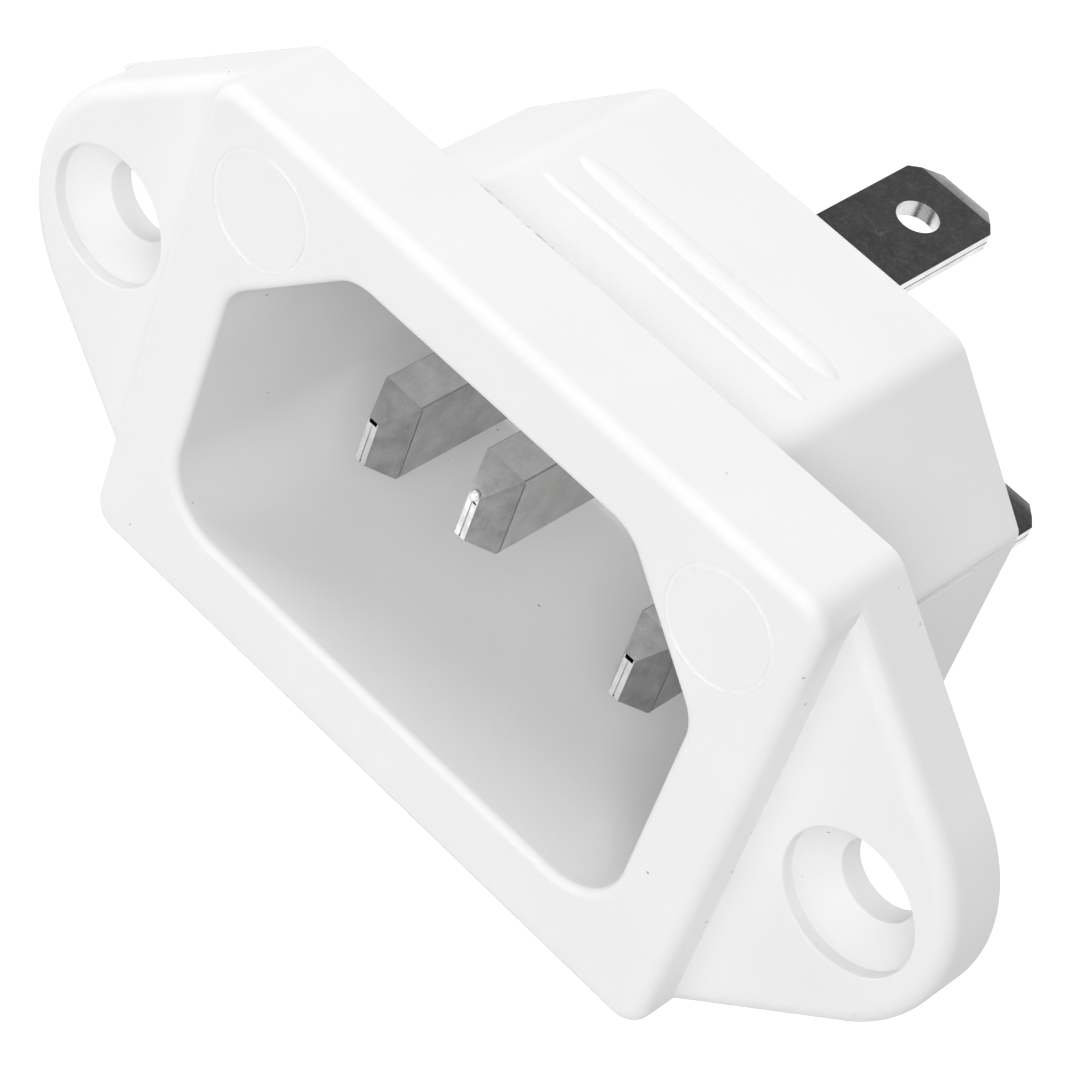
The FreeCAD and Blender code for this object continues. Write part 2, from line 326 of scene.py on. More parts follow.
def flange():
    radius = bezel_corner - SHY
    circles = [(ear_x, 0.0, ear_radius), (corner_x, corner_z, radius), (-corner_x, corner_z, radius),
               (-ear_x, 0.0, ear_radius), (-corner_x, -corner_z, radius), (corner_x, -corner_z, radius)]
    front_edge = rounding(flange_front, 1, radius=0.8, steps=9)
    back_edge = rounding(flange_back, -1, radius=0.12, steps=3)
    return loft("flange", band(circles, turn_degrees=3), front_edge + back_edge[::-1])


def bezel():
    inside_flange = -0.3
    stations = rounding(bezel_front, 1, radius=0.6, steps=8) + [(inside_flange, 0.0)]
    return prism("bezel", rectangle(-bezel_half, bezel_half, -bezel_top, bezel_top), bezel_corner, stations)


def six_sided(half, top, bottom, slope, crest, shoulder, foot):
    """Band of an outline whose two upper corners are cut at 45 degrees."""
    corners = [(half, top - slope, shoulder), (half - slope, top, crest), (-half + slope, top, crest),
               (-half, top - slope, shoulder), (-half, bottom, foot), (half, bottom, foot)]
    return band(corner_circles(corners))


body_half = 13.425
body_top = 9.785
body_bottom = -9.425
body_slope = 5.565
shoulder_z = body_top - body_slope
body_start = -1.5


def body():
    points = six_sided(body_half, body_top, body_bottom, body_slope, crest=1.4, shoulder=0.6, foot=1.0)
    rear_edge = rounding(body_rear, -1, radius=0.2, steps=4)
    return loft("body", points, [(body_start, 0.0)] + rear_edge[::-1])


housing = flange()
added = [bezel(), body()]
print("flange, bezel and body have", [len(part.data.polygons) for part in [housing] + added], "faces")

# %% [markdown]
# ## Pads and a lip
#
# Small raised shapes finish the outside: a thin pad on each end face fills the panel's cut-out, and on
# the left ear the upper edge runs straight on beside the arc and ends in a low step. They are lofts
# again, with corners so tight that they only catch a line of light.

# %% Pads and ear lip
TIGHT = 0.06
SUNK = 0.5
pad_below_shoulder = 0.3


def small_block(name, corners, stations):
    """Little prism along Y with corners that are hardly rounded."""
    return prism(name, corners, TIGHT, stations, turn_degrees=30)


def span(side, near, far, middle=0.0):
    """Lowest and highest x of a stretch on one side of the middle."""
    return sorted((middle + side * near, middle + side * far))


def pad(side):
    """Thin pad on an end face, which reaches into the body and into the flange."""
    thickness, above_bottom, rear = 0.12, 2.2, 10.0
    left, right = span(side, body_half - SUNK, body_half + thickness)
    corners = rectangle(left, right, body_bottom + above_bottom, shoulder_z - pad_below_shoulder)
    return small_block("pad", corners, [(body_start, 0.0)] + rounding(rear, -1, TIGHT, steps=3)[::-1])


def ear_lip():
    """Lip where the left ear's upper edge runs straight on past the arc, on the panel side."""
    length, depth = 1.86, 0.3
    ear = Vector((ear_x, 0.0))
    run = ear - Vector((corner_x, corner_z))
    angle = math.atan2(run.y, run.x) + math.acos((bezel_corner - ear_radius) / run.length)
    out = Vector((math.cos(angle), math.sin(angle)))
    along = Vector((out.y, -out.x))
    joint = ear + out * (ear_radius - SHY)
    ends = [joint - along * SUNK, joint + along * length]
    path = ends + [ends[1] - out * SUNK, ends[0] - out * SUNK]
    stations = rounding(-depth, 1, TIGHT, steps=3) + rounding(-SHY, -1, TIGHT, steps=3)[::-1]
    return small_block("ear_lip", [(-point.x, point.y) for point in path], stations)


added += [pad(side) for side in SIDES] + [ear_lip()]
print("two pads and a lip made")

# %% [markdown]
# ## Two ribs from one tree
#
# The two ribs across the top of the body are one shape in two sizes: a low bar with a round back and
# rounded ends. A Geometry Nodes tree sweeps a flat oval along a line and lets it shrink towards both
# ends. Its named inputs are the size and the place, so it serves for both. Most of the oval is buried in
# the body, so the join has no gap and the sides rise at a slant, as a mould needs them to. Its widest
# part lies below the surface, so it is made a little wider than the rib.

# %% Ribs
def rib_tree():
    """Round-backed bar along X, which shrinks over its last part at both ends."""
    tree, given, result = new_group("body_rib", "GeometryNodeTree", {
        "Float": ("Half Length", "Half Width", "Height", "End Round"), "Vector": ("Place",),
        "Material": ("Material",)}, {"Geometry": ("Geometry",)})
    circle = put(tree, "GeometryNodeCurvePrimitiveCircle", {"Resolution": 40, "Radius": 1.0})
    flat = put(tree, "ShaderNodeCombineXYZ", {0: given["Height"], 1: given["Half Width"], 2: 1.0})
    oval = put(tree, "GeometryNodeTransform", {"Geometry": circle, "Scale": flat})
    end = put(tree, "ShaderNodeCombineXYZ", {2: given["Half Length"]})
    start = put(tree, "ShaderNodeVectorMath", {0: end, "Scale": -1.0}, operation="SCALE")
    line = put(tree, "GeometryNodeCurvePrimitiveLine", {"Start": start, "End": end})
    fine = put(tree, "GeometryNodeResampleCurve", {"Curve": line, "Count": 120})
    place = split(tree, put(tree, "GeometryNodeInputPosition"))
    from_middle = calculate(tree, "ABSOLUTE", place[2])
    to_end = calculate(tree, "SUBTRACT", given["Half Length"], from_middle)
    late = ramp(tree, to_end, 0.0, given["End Round"], 1.0, 0.0)
    square = calculate(tree, "POWER", late, 2.0)
    left_over = calculate(tree, "SUBTRACT", 1.02, square)
    share = calculate(tree, "SQRT", left_over)
    bar = put(tree, "GeometryNodeCurveToMesh",
              {"Curve": fine, "Profile Curve": oval, "Scale": share, "Fill Caps": True})
    laid = put(tree, "GeometryNodeTransform",
               {"Geometry": bar, "Translation": given["Place"], "Rotation": (0.0, math.pi / 2, 0.0)})
    real = put(tree, "GeometryNodeRealizeInstances", {"Geometry": laid})
    painted = put(tree, "GeometryNodeSetMaterial", {"Geometry": real, "Material": given["Material"]})
    feed(tree, result, {"Geometry": painted})
    return tree


plastic = bpy.data.materials.new("satin_white_plastic")
ribs = rib_tree()
rib_to_slope = 0.85
rib_half = body_half - body_slope - rib_to_slope
seen_share = 0.5
widened = 1 / math.sqrt(1 - (1 - seen_share) ** 2)
for place, width, height in ((4.75, 0.5, 0.15), (6.7, 0.95, 0.3)):
    whole_height = height / seen_share
    added.append(grow("rib", ribs, {
        "Half Length": rib_half, "Half Width": width / 2 * widened, "Height": whole_height,
        "End Round": 2 * width, "Place": (0.0, place, body_top + height - whole_height),
        "Material": plastic}))
combine(housing, added, "UNION")
print("the outside has", len(housing.data.polygons), "faces")

# %% [markdown]
# ## What is cut away
#
# Everything hollow is taken out in one pass: the deep cavity for the plug, two countersunk screw holes,
# the blades' slots, two shallow rings on the bezel, and a fine line along each shoulder of the body. Each
# cutter carries its own roundings: one that flares where it breaks the surface leaves a rounded lip, and
# one with rounded ends leaves a soft corner at the bottom.

# %% Cavity, screw holes and slots
CUT_PAST = 1.0
rear_wall = 2.0
cavity_floor = body_rear - rear_wall


def lip(y, radius, steps=4):
    """Stations that flare a cutter where it leaves the face at y, towards -Y."""
    flare = [(station, -inset) for station, inset in rounding(y, 1, radius, steps)]
    flare[0] = (y + SHY / 4, -radius)
    return [(y - CUT_PAST, -radius)] + flare


def cavity():
    points = six_sided(12.275, top=8.455, bottom=-8.095, slope=5.15, crest=2.1, shoulder=2.1, foot=2.8)
    floor_edge = rounding(cavity_floor, -1, radius=0.3, steps=5)
    return loft("cavity", points, lip(bezel_front, radius=0.35, steps=6) + floor_edge[::-1])


def screw_hole(side):
    """Straight mouth with a rounded lip, cone for the screw head, bore, and a break at the back."""
    hole_x, mouth, bore, edge_break = 20.0, 2.98, 1.7, 0.1
    cone_start, cone_end = -2.43, -1.2
    stations = [(y, inset - mouth) for y, inset in lip(flange_front, radius=0.08)]
    stations += [(cone_start - 0.04, -mouth), (cone_start, 0.02 - mouth), (cone_end, -bore - 0.03),
                 (cone_end + 0.08, -bore), (-edge_break, -bore), (flange_back, -bore - edge_break),
                 (CUT_PAST, -bore - edge_break)]
    return loft("screw_hole", turned(side * hole_x, 0.0), stations)


def ring_mark(side):
    """Shallow round-bottomed ring, closed on itself."""
    width, depth, radius, steps = 0.24, 0.08, 2.39, 12
    from_side, from_top = 3.7, 3.9
    angles = [2 * math.pi * step / steps for step in range(steps)]
    stations = [(bezel_front + depth * math.cos(angle), width / 2 * math.sin(angle) - radius)
                for angle in angles]
    points = turned(side * (bezel_half - from_side), bezel_top - from_top, steps=120)
    return loft("ring_mark", points, stations, closed=True)


def blade_slot(x, z):
    half_width, half_height = 1.05, 2.05
    corners = rectangle(x - half_width, x + half_width, z - half_height, z + half_height)
    return small_block("blade_slot", corners, [(cavity_floor - CUT_PAST, 0.0), (body_rear + CUT_PAST, 0.0)])


def shoulder_line(side):
    """Narrow line along the edge where the slope meets the end face."""
    depth, below_shoulder, start = 0.22, 0.12, 0.05
    left, right = span(side, body_half - depth, body_half + CUT_PAST)
    corners = rectangle(left, right, shoulder_z - pad_below_shoulder, shoulder_z - below_shoulder)
    return small_block("shoulder_line", corners, [(start, 0.0), (body_rear + CUT_PAST, 0.0)])


pole_x, pole_z, earth_z = 7.0, -2.2, 1.8
cut = [cavity(), blade_slot(0.0, earth_z)]
for side in SIDES:
    cut += [shoulder_line(side), screw_hole(side), ring_mark(side), blade_slot(side * pole_x, pole_z)]
combine(housing, cut, "DIFFERENCE")
print("the cut housing has", len(housing.data.polygons), "faces")

# %% [markdown]
# ## Normals that keep flat faces flat
#
# Smooth shading blends the normals of the faces that meet at a corner, which makes the big flat faces of
# a moulding look dented beside each rounded edge. The cure is to weight every normal by the area of the
# whole flat region that its face belongs to. The flat face then wins, and the narrow strips of the
# rounding carry the whole turn, as light runs along a real edge.

# %% Finish a piece
WELD = 0.0004
SAME_NORMAL = 0.003


def spread(first, neighbours):
    """Everything that can be reached from the first thing, in the order met."""
    found = {first: True}
    waiting = [first]
    while waiting:
        for other in neighbours(waiting.pop()):
            if other not in found:
                found[other] = True
                waiting.append(other)
    return list(found)


def flat_regions(mesh, same_plane=math.radians(0.2)):
    """Area of the flat region that each face belongs to."""
    def beside(face):
        return [other for edge in face.edges for other in edge.link_faces
                if face.normal.angle(other.normal, 0.0) < same_plane]

    area = {}
    for first in mesh.faces:
        if first not in area:
            region = spread(first, beside)
            area.update(dict.fromkeys(region, sum(face.calc_area() for face in region)))
    return area


def weighted_normal(corner, area):
    """Normal of a face's corner: the faces joined to it by smooth edges count by their flat regions."""
    around = [edge for edge in corner.vert.link_edges if edge.smooth]
    fan = spread(corner.face, lambda face: [other for edge in around if face in edge.link_faces
                                            for other in edge.link_faces])
    normal = Vector()
    seen = []
    for other in fan:
        if all(other.normal.angle(known, 0.0) > SAME_NORMAL for known in seen):
            seen.append(other.normal)
            normal += other.normal * area[other]
    return normal.normalized() if normal.length > 0 else corner.face.normal.copy()


def finish(piece, sharp_degrees=32):
    """Cleans the mesh, scales it to metres and gives it normals weighted by flat region."""
    mesh = bmesh.new()
    mesh.from_mesh(piece.data)
    bmesh.ops.remove_doubles(mesh, verts=mesh.verts, dist=WELD)
    bmesh.ops.dissolve_degenerate(mesh, edges=mesh.edges, dist=WELD)
    mesh.normal_update()
    for edge in mesh.edges:
        edge.smooth = len(edge.link_faces) == 2 and edge.calc_face_angle(0.0) < math.radians(sharp_degrees)
    for face in mesh.faces:
        face.smooth = True
    area = flat_regions(mesh)
    normals = [weighted_normal(corner, area) for face in mesh.faces for corner in face.loops]
    open_edges = sum(1 for edge in mesh.edges if len(edge.link_faces) != 2)
    bmesh.ops.scale(mesh, vec=(MM, MM, MM), verts=mesh.verts)
    mesh.to_mesh(piece.data)
    mesh.free()
    piece.data.normals_split_custom_set(normals)
    print(piece.name, len(piece.data.polygons), "faces,", open_edges, "open edges")


def hand_over(piece, node):
    """Hides the CAD node that the piece stands for and puts the piece on the root body."""
    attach(piece, "root")
    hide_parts(node)


housing.name = "moulded_housing"
housing.data.materials.clear()
housing.data.materials.append(plastic)
finish(housing)
hand_over(housing, "housing")

# %% [markdown]
# ## Three folded contacts
#
# Each contact is one strip of plated sheet. Folded double it makes the blade in the cavity, and behind
# the housing it opens flat and bends away as a tab with a wire hole. The three differ only in a few
# places, so one Geometry Nodes tree makes them all. It sweeps the blade, narrows its tip by keeping only
# what lies inside a tapered block, sweeps the tab along a filleted path, and cuts the corners, the bevels
# and the hole.

# %% Cutter used four times
def cutter_tree():
    """Block whose one face lies at a place, turned so that it cuts a corner away."""
    tree, given, result = new_group("corner_cutter", "GeometryNodeTree", {"Vector": ("Place", "Turn")},
                                    {"Geometry": ("Geometry",)})
    block = put(tree, "GeometryNodeMeshCube", {"Size": (8.0, 3.0, 3.0)})
    ahead = put(tree, "GeometryNodeTransform", {"Geometry": block, "Translation": (0.0, 1.5, 0.0)})
    turned_block = put(tree, "GeometryNodeTransform",
                       {"Geometry": ahead, "Translation": given["Place"], "Rotation": given["Turn"]})
    feed(tree, result, {"Geometry": turned_block})
    return tree


corner_cutter = cutter_tree()
sheet = 0.8
bend_radius = 0.4
TAB_HALF = 2.3
CORNER_X, CORNER_Y = 1.05, 1.25
BEVEL_LENGTH, BEVEL_RISE = 0.78, 0.25
WIRE_HOLE_RADIUS, WIRE_HOLE_FROM_END = 0.925, 3.27
FAR = 1000.0


def vector_sum(tree, first, second):
    return calculate(tree, "ADD", first, second, kind="ShaderNodeVectorMath")


def blade_nodes(tree, given):
    """Blade: a bar with a folded upper edge, narrowed to its tip by what lies inside a tapered block."""
    outline = put(tree, "GeometryNodeCurvePrimitiveQuadrilateral",
                  {"Width": given["Blade Width"], "Height": given["Blade Height"]})
    place = split(tree, put(tree, "GeometryNodeInputPosition"))
    upper = calculate(tree, "LESS_THAN", place[1], 0.0, kind="FunctionNodeCompare")
    radius = put(tree, "GeometryNodeSwitch", {0: upper, 1: given["Edge Round"], 2: given["Fold Round"]},
                 input_type="FLOAT")
    profile = put(tree, "GeometryNodeFilletCurve", {"Curve": outline, "Count": 6, "Radius": radius},
                  mode="POLY")
    end = put(tree, "ShaderNodeCombineXYZ", {2: given["Blade Length"]})
    line = put(tree, "GeometryNodeCurvePrimitiveLine", {"End": end})
    bar = put(tree, "GeometryNodeCurveToMesh", {"Curve": line, "Profile Curve": profile, "Fill Caps": True})
    laid = put(tree, "GeometryNodeTransform",
               {"Geometry": bar, "Translation": given["Blade Place"], "Rotation": (-math.pi / 2, 0.0, 0.0)})
    block = put(tree, "GeometryNodeMeshCube", {"Size": (2.0, 2.0, 2.0)})
    corner = split(tree, put(tree, "GeometryNodeInputPosition"))
    behind = ramp(tree, corner[1], -1.0, 1.0)
    reach = put(tree, "ShaderNodeMix", {0: behind, 4: given["Near Corner"], 5: given["Far Corner"]},
                data_type="VECTOR")
    side = put(tree, "ShaderNodeCombineXYZ", {0: corner[0], 1: 1.0, 2: corner[2]})
    tapered = calculate(tree, "MULTIPLY", reach.outputs[1], side, kind="ShaderNodeVectorMath")
    in_place = vector_sum(tree, tapered, given["Blade Place"])
    moved = put(tree, "GeometryNodeSetPosition", {"Geometry": block, "Position": in_place})
    return put(tree, "GeometryNodeMeshBoolean", {"Mesh 2": [laid, moved]}, operation="INTERSECT",
               solver="EXACT")


def tab_nodes(tree, given):
    """Sheet that stands against the rear wall and bends back into the tab."""
    line = put(tree, "GeometryNodeMeshLine", {"Count": 3})
    index = put(tree, "GeometryNodeInputIndex")
    first = put(tree, "FunctionNodeCompare", {2: index, 3: 0}, data_type="INT", operation="EQUAL")
    last = put(tree, "FunctionNodeCompare", {2: index, 3: 2}, data_type="INT", operation="EQUAL")
    early = put(tree, "GeometryNodeSwitch", {0: first, 1: given["Bend"], 2: given["Root"]},
                input_type="VECTOR")
    path = put(tree, "GeometryNodeSwitch", {0: last, 1: early, 2: given["End"]}, input_type="VECTOR")
    points = put(tree, "GeometryNodeSetPosition", {"Geometry": line, "Position": path})
    curve = put(tree, "GeometryNodeMeshToCurve", {"Mesh": points})
    bent = put(tree, "GeometryNodeFilletCurve",
               {"Curve": curve, "Count": 10, "Radius": given["Bend Radius"]}, mode="POLY")
    profile = put(tree, "GeometryNodeCurvePrimitiveQuadrilateral",
                  {"Width": given["Tab Width"], "Height": given["Thickness"]})
    return put(tree, "GeometryNodeCurveToMesh", {"Curve": bent, "Profile Curve": profile, "Fill Caps": True})


def tab_cutters(tree, given):
    """Two corners, two bevels and the wire hole, all placed from the end of the tab."""
    cutters = []
    for side in SIDES:
        corner = vector_sum(tree, given["End"], (side * (TAB_HALF - CORNER_X / 2), -CORNER_Y / 2, 0.0))
        bevel = vector_sum(tree, given["End"], (0.0, -BEVEL_LENGTH / 2, side * (sheet / 2 - BEVEL_RISE / 2)))
        corner_turn = (0.0, 0.0, -side * math.atan2(CORNER_Y, CORNER_X))
        bevel_turn = (side * math.atan2(BEVEL_LENGTH, BEVEL_RISE), 0.0, 0.0)
        for place, turn in ((corner, corner_turn), (bevel, bevel_turn)):
            cutters.append(put(tree, "GeometryNodeGroup", {"Place": place, "Turn": turn},
                               node_tree=corner_cutter))
    drill = put(tree, "GeometryNodeMeshCylinder", {"Vertices": 64, "Radius": WIRE_HOLE_RADIUS, "Depth": 3.0})
    place = vector_sum(tree, given["End"], (0.0, -WIRE_HOLE_FROM_END, 0.0))
    return cutters + [put(tree, "GeometryNodeTransform", {"Geometry": drill, "Translation": place})]


def logic(tree, operation, *tests):
    """Combines tests of a face into one."""
    return calculate(tree, operation, *tests, kind="FunctionNodeBooleanMath")


def between(tree, value, low=-FAR, high=FAR):
    """Test that is true where the value lies between low and high."""
    above = calculate(tree, "GREATER_THAN", value, low, kind="FunctionNodeCompare")
    below = calculate(tree, "LESS_THAN", value, high, kind="FunctionNodeCompare")
    return logic(tree, "AND", above, below)


def face_tests(tree):
    """Which faces get which finish, by where they are and where they face. A later one paints over."""
    normal_x, normal_y, normal_z = split(tree, put(tree, "GeometryNodeInputNormal"))
    place_y = split(tree, put(tree, "GeometryNodeInputPosition"))[1]
    sideways = calculate(tree, "ABSOLUTE", normal_x)
    on_side = between(tree, sideways, low=0.9)
    tab = between(tree, place_y, low=body_rear - SHY)
    past_bend = between(tree, place_y, low=body_rear + 1.3)
    in_cavity = between(tree, place_y, high=cavity_floor)
    tab_side = logic(tree, "AND", tab, on_side)
    tab_edge = logic(tree, "AND", past_bend, between(tree, normal_z, -0.3, 0.3))
    sheared = logic(tree, "OR", tab_side, tab_edge)
    bevelled = logic(tree, "AND", past_bend, between(tree, normal_y, 0.3, 0.8))
    slanted = logic(tree, "OR", between(tree, sideways, 0.3, 0.95), between(tree, normal_y, -0.8, -0.3))
    # Some of these finishes are painted shade: the darker sides and tips, the pressed facets and the earth
    # tab's bevel; the Tab Finish is a painted dark reflection.
    return {"Tab Finish": tab, "Edge Finish": sheared,
            "Bevel Finish": logic(tree, "AND", bevelled, logic(tree, "NOT", sheared)),
            "Side Finish": logic(tree, "AND", in_cavity, on_side),
            "Pressed Finish": logic(tree, "AND", in_cavity, slanted),
            "Tip Finish": logic(tree, "AND", in_cavity, between(tree, normal_y, high=-0.98))}


def contact_tree():
    """Whole contact: blade, tab, cuts, and a finish for each kind of face."""
    tree, given, result = new_group("folded_contact", "GeometryNodeTree", {
        "Float": ("Blade Length", "Blade Width", "Blade Height", "Fold Round", "Edge Round", "Bend Radius",
                  "Tab Width", "Thickness"),
        "Vector": ("Blade Place", "Near Corner", "Far Corner", "Root", "Bend", "End", "X"),
        "Material": ("Blade Finish", "Side Finish", "Pressed Finish", "Tip Finish", "Tab Finish",
                     "Edge Finish", "Bevel Finish")}, {"Geometry": ("Geometry",)})
    solids = [blade_nodes(tree, given), tab_nodes(tree, given)]
    whole = put(tree, "GeometryNodeMeshBoolean", {"Mesh 2": solids}, operation="UNION", solver="EXACT")
    trimmed = put(tree, "GeometryNodeMeshBoolean", {"Mesh 1": whole, "Mesh 2": tab_cutters(tree, given)},
                  operation="DIFFERENCE", solver="EXACT")
    placed = put(tree, "GeometryNodeTransform", {"Geometry": trimmed, "Translation": given["X"]})
    real = put(tree, "GeometryNodeRealizeInstances", {"Geometry": placed})
    painted = put(tree, "GeometryNodeSetMaterial", {"Geometry": real, "Material": given["Blade Finish"]})
    for title, faces in face_tests(tree).items():
        feeds = {"Geometry": painted, "Selection": faces, "Material": given[title]}
        painted = put(tree, "GeometryNodeSetMaterial", feeds)
    feed(tree, result, {"Geometry": painted})
    return tree


folded_contact = contact_tree()
print("contact tree has", len(folded_contact.nodes), "nodes")

# %% [markdown]
# ## Filling in the tree's inputs
#
# The places come from the CAD boxes of the three nodes: the lowest Y is the tip and the highest is the
# end of the tab. The earth's tab bends up, and the tabs of the two poles bend down. Their edges stay
# crisp, as a shear leaves them. Fine cuts then tell how the contact was made: the seam between the folded
# sheet's two layers, the pocket that the fold leaves at the top of the tip, a line where the press
# stopped, and one along the tab's sheared sides. A cut takes its finish from its cutter: the seam is dark,
# the pocket's near-black is painted shade, and the lines' dark grey is painted shade too. The earth's tip
# also keeps a drop of burr.

# %% Contacts
blade_width, blade_height = 2.0, 4.0
tip_length, tip_half_width, tip_half_height = 1.4, 0.25, 1.12
metal = {name: bpy.data.materials.new(name) for name in (
    "blade_plating", "blade_side_painted_shade", "tab_plating_painted_dark_reflection", "sheared_edge", "pressed_bevel_painted_shade", "coined_tip",
    "tab_bevel_painted_shade", "dark_seam_and_painted_pocket_shade")}


def slot_cut(low_corner, high_corner, finish_name):
    """Small block between two corners. The walls of the cut that it makes take its finish."""
    block = bmesh.new()
    bmesh.ops.create_cube(block, size=1.0)
    for vertex in block.verts:
        for axis in range(3):
            vertex.co[axis] = high_corner[axis] if vertex.co[axis] > 0 else low_corner[axis]
    return as_object("slot_cut", block, metal[finish_name])


def seam_cuts(x, tip, blade_z):
    """Fine seam down the tip and along the underside, and a line behind the pressed part of each side."""
    seam_half, seam_depth, short_of_floor = 0.03, 0.3, 0.5
    fold_height, tip_mark, tip_seam = 0.9, 0.03, 0.1
    low = blade_z - blade_height / 2
    bottom = low - CUT_PAST
    pressed_end = tip + tip_length
    front_corner = (x - seam_half, tip - CUT_PAST, bottom)
    cuts = []
    # The tip mark and the press lines take the dark grey of painted shade; the seams are a dark joint.
    for back, top, finish_name in (
            (tip + tip_mark, blade_z + fold_height, "pressed_bevel_painted_shade"),
            (cavity_floor - short_of_floor, low + seam_depth, "dark_seam_and_painted_pocket_shade"),
            (pressed_end, blade_z - tip_half_height + tip_seam, "dark_seam_and_painted_pocket_shade")):
        cuts.append(slot_cut(front_corner, (x + seam_half, back, top), finish_name))
    line_start, line_end, line_depth, line_top = pressed_end + 0.02, pressed_end + 0.09, 0.04, blade_z + 1.85
    for side in SIDES:
        near, far = span(side, blade_width / 2 - line_depth, blade_width, x)
        cuts.append(slot_cut((near, line_start, bottom), (far, line_end, line_top), "pressed_bevel_painted_shade"))
    return cuts


def fold_pocket(x, tip, low, high, half_width):
    """Small hollow at the top of the tip face, whose near-black is painted shade."""
    back = tip + 0.5
    return slot_cut((x - half_width, tip - CUT_PAST, low), (x + half_width, back, high), "dark_seam_and_painted_pocket_shade")


def nib(x, tip, z):
    """Drop of burr that the press leaves at the top of the earth blade's tip."""
    half_sizes, behind_tip = (0.23, 0.2, 0.27), 0.06
    drop = bmesh.new()
    bmesh.ops.create_icosphere(drop, subdivisions=4, radius=1.0)
    bmesh.ops.scale(drop, vec=half_sizes, verts=drop.verts)
    bmesh.ops.translate(drop, vec=(x, tip + behind_tip, z), verts=drop.verts)
    return as_object("nib", drop, metal["sheared_edge"])


def shear_lines(x, tab_half, end, tab_z):
    """Fine line along both sheared sides of the tab, where the metal tore."""
    depth, half_line, start = 0.03, 0.035, body_rear + 1.5
    lines = []
    for side in SIDES:
        near, far = span(side, tab_half - depth, tab_half + CUT_PAST, x)
        # The shear lines take the dark grey of painted shade.
        lines.append(slot_cut((near, start, tab_z - half_line), (far, end - CORNER_Y, tab_z + half_line),
                              "pressed_bevel_painted_shade"))
    return lines


def make_contact(node, bends_up):
    low, high = cad_box(node)
    x = (low.x + high.x) / 2
    tip, end = low.y, high.y
    blade_z = low.z + blade_height / 2 if bends_up else high.z - blade_height / 2
    tab_z = high.z - sheet / 2 if bends_up else low.z + sheet / 2
    away = 1 if bends_up else -1
    length = body_rear - tip
    reach = length + CUT_PAST
    widen = (blade_width / 2 - tip_half_width) / tip_length
    heighten = (blade_height / 2 - tip_half_height) / tip_length
    stands = body_rear + sheet / 2
    # Darker greys on the pole blades' sides and tips, the pressed facets and the earth tab's bevel are
    # painted shade; the tabs' near-black is a painted dark reflection.
    finishes = {"Blade": "blade_plating", "Side": "blade_plating" if bends_up else "blade_side_painted_shade",
                "Pressed": "pressed_bevel_painted_shade", "Tip": "coined_tip" if bends_up else "blade_side_painted_shade",
                "Tab": "tab_plating_painted_dark_reflection", "Edge": "sheared_edge",
                "Bevel": "tab_bevel_painted_shade" if bends_up else "tab_plating_painted_dark_reflection"}
    values = {
        "Blade Place": (0.0, tip, blade_z), "Blade Length": length + SHY, "Blade Width": blade_width,
        "Blade Height": blade_height, "Fold Round": 0.08, "Edge Round": 0.12,
        "Near Corner": (tip_half_width, 0.0, tip_half_height),
        "Far Corner": (tip_half_width + widen * reach, reach, tip_half_height + heighten * reach),
        "Root": (0.0, stands, blade_z - away * blade_height / 2), "Bend": (0.0, stands, tab_z),
        "End": (0.0, end, tab_z), "Bend Radius": bend_radius + sheet / 2, "Tab Width": high.x - low.x,
        "Thickness": sheet, "X": (x, 0.0, 0.0)}
    values.update({part + " Finish": metal[name] for part, name in finishes.items()})
    piece = grow(node + "_folded", folded_contact, values)
    cuts = seam_cuts(x, tip, blade_z)
    if bends_up:
        combine(piece, [nib(x, tip, blade_z + 1.08)], "UNION")
        cuts.append(fold_pocket(x + 0.1, tip, blade_z + 0.74, blade_z + 0.83, half_width=0.09))
    else:
        cuts.append(fold_pocket(x, tip, blade_z + 0.96, blade_z + 1.14, half_width=0.2))
    cuts += shear_lines(x, (high.x - low.x) / 2, end, tab_z)
    combine(piece, cuts, "DIFFERENCE")
    finish(piece)
    hand_over(piece, node)


for node in ("earth_contact", "left_contact", "right_contact"):
    make_contact(node, bends_up=node == "earth_contact")

# %% [markdown]
# ## Marks that every surface has
#
# No real surface is one flat colour. A shared node group makes three kinds of marks from the object's own
# coordinates in millimetres: slow clouds, fine grain, and thin crossing scratches. Each material places
# the group with its own sizes and decides what the marks do. The group puts out only values, so the
# shaders stay in the materials.

# %% Shared surface marks
def marks_group():
    tree, given, result = new_group("surface_marks", "ShaderNodeTree", {
        "Float": ("Cloud Size", "Grain Size", "Scratch Size"), "Vector": ("Stretch",)},
        {"Float": ("Clouds", "Grain", "Scratches"), "Vector": ("Millimetres",)})
    place = put(tree, "ShaderNodeTexCoord").outputs["Object"]
    size = put(tree, "ShaderNodeVectorMath", {0: place, "Scale": 1 / MM}, operation="SCALE")
    drawn = calculate(tree, "MULTIPLY", size, given["Stretch"], kind="ShaderNodeVectorMath")

    def noise(title, detail, roughness, vector, distortion=0.0):
        feeds = {"Vector": vector, "Scale": calculate(tree, "DIVIDE", 1.0, given[title]), "Detail": detail,
                 "Roughness": roughness, "Distortion": distortion}
        return put(tree, "ShaderNodeTexNoise", feeds)

    clouds = noise("Cloud Size", 3.0, 0.5, size)
    grain = noise("Grain Size", 2.0, 0.6, drawn)
    lines = noise("Scratch Size", 1.0, 0.5, drawn, 1.5)
    ridge = calculate(tree, "ABSOLUTE", calculate(tree, "SUBTRACT", lines, 0.5))
    thin = ramp(tree, ridge, 0.0, 0.012, 1.0, 0.0)
    scratches = calculate(tree, "MULTIPLY", thin, ramp(tree, clouds, 0.5, 0.65))
    feed(tree, result, {"Clouds": clouds, "Grain": grain, "Scratches": scratches, "Millimetres": size})
    return tree


surface_marks = marks_group()


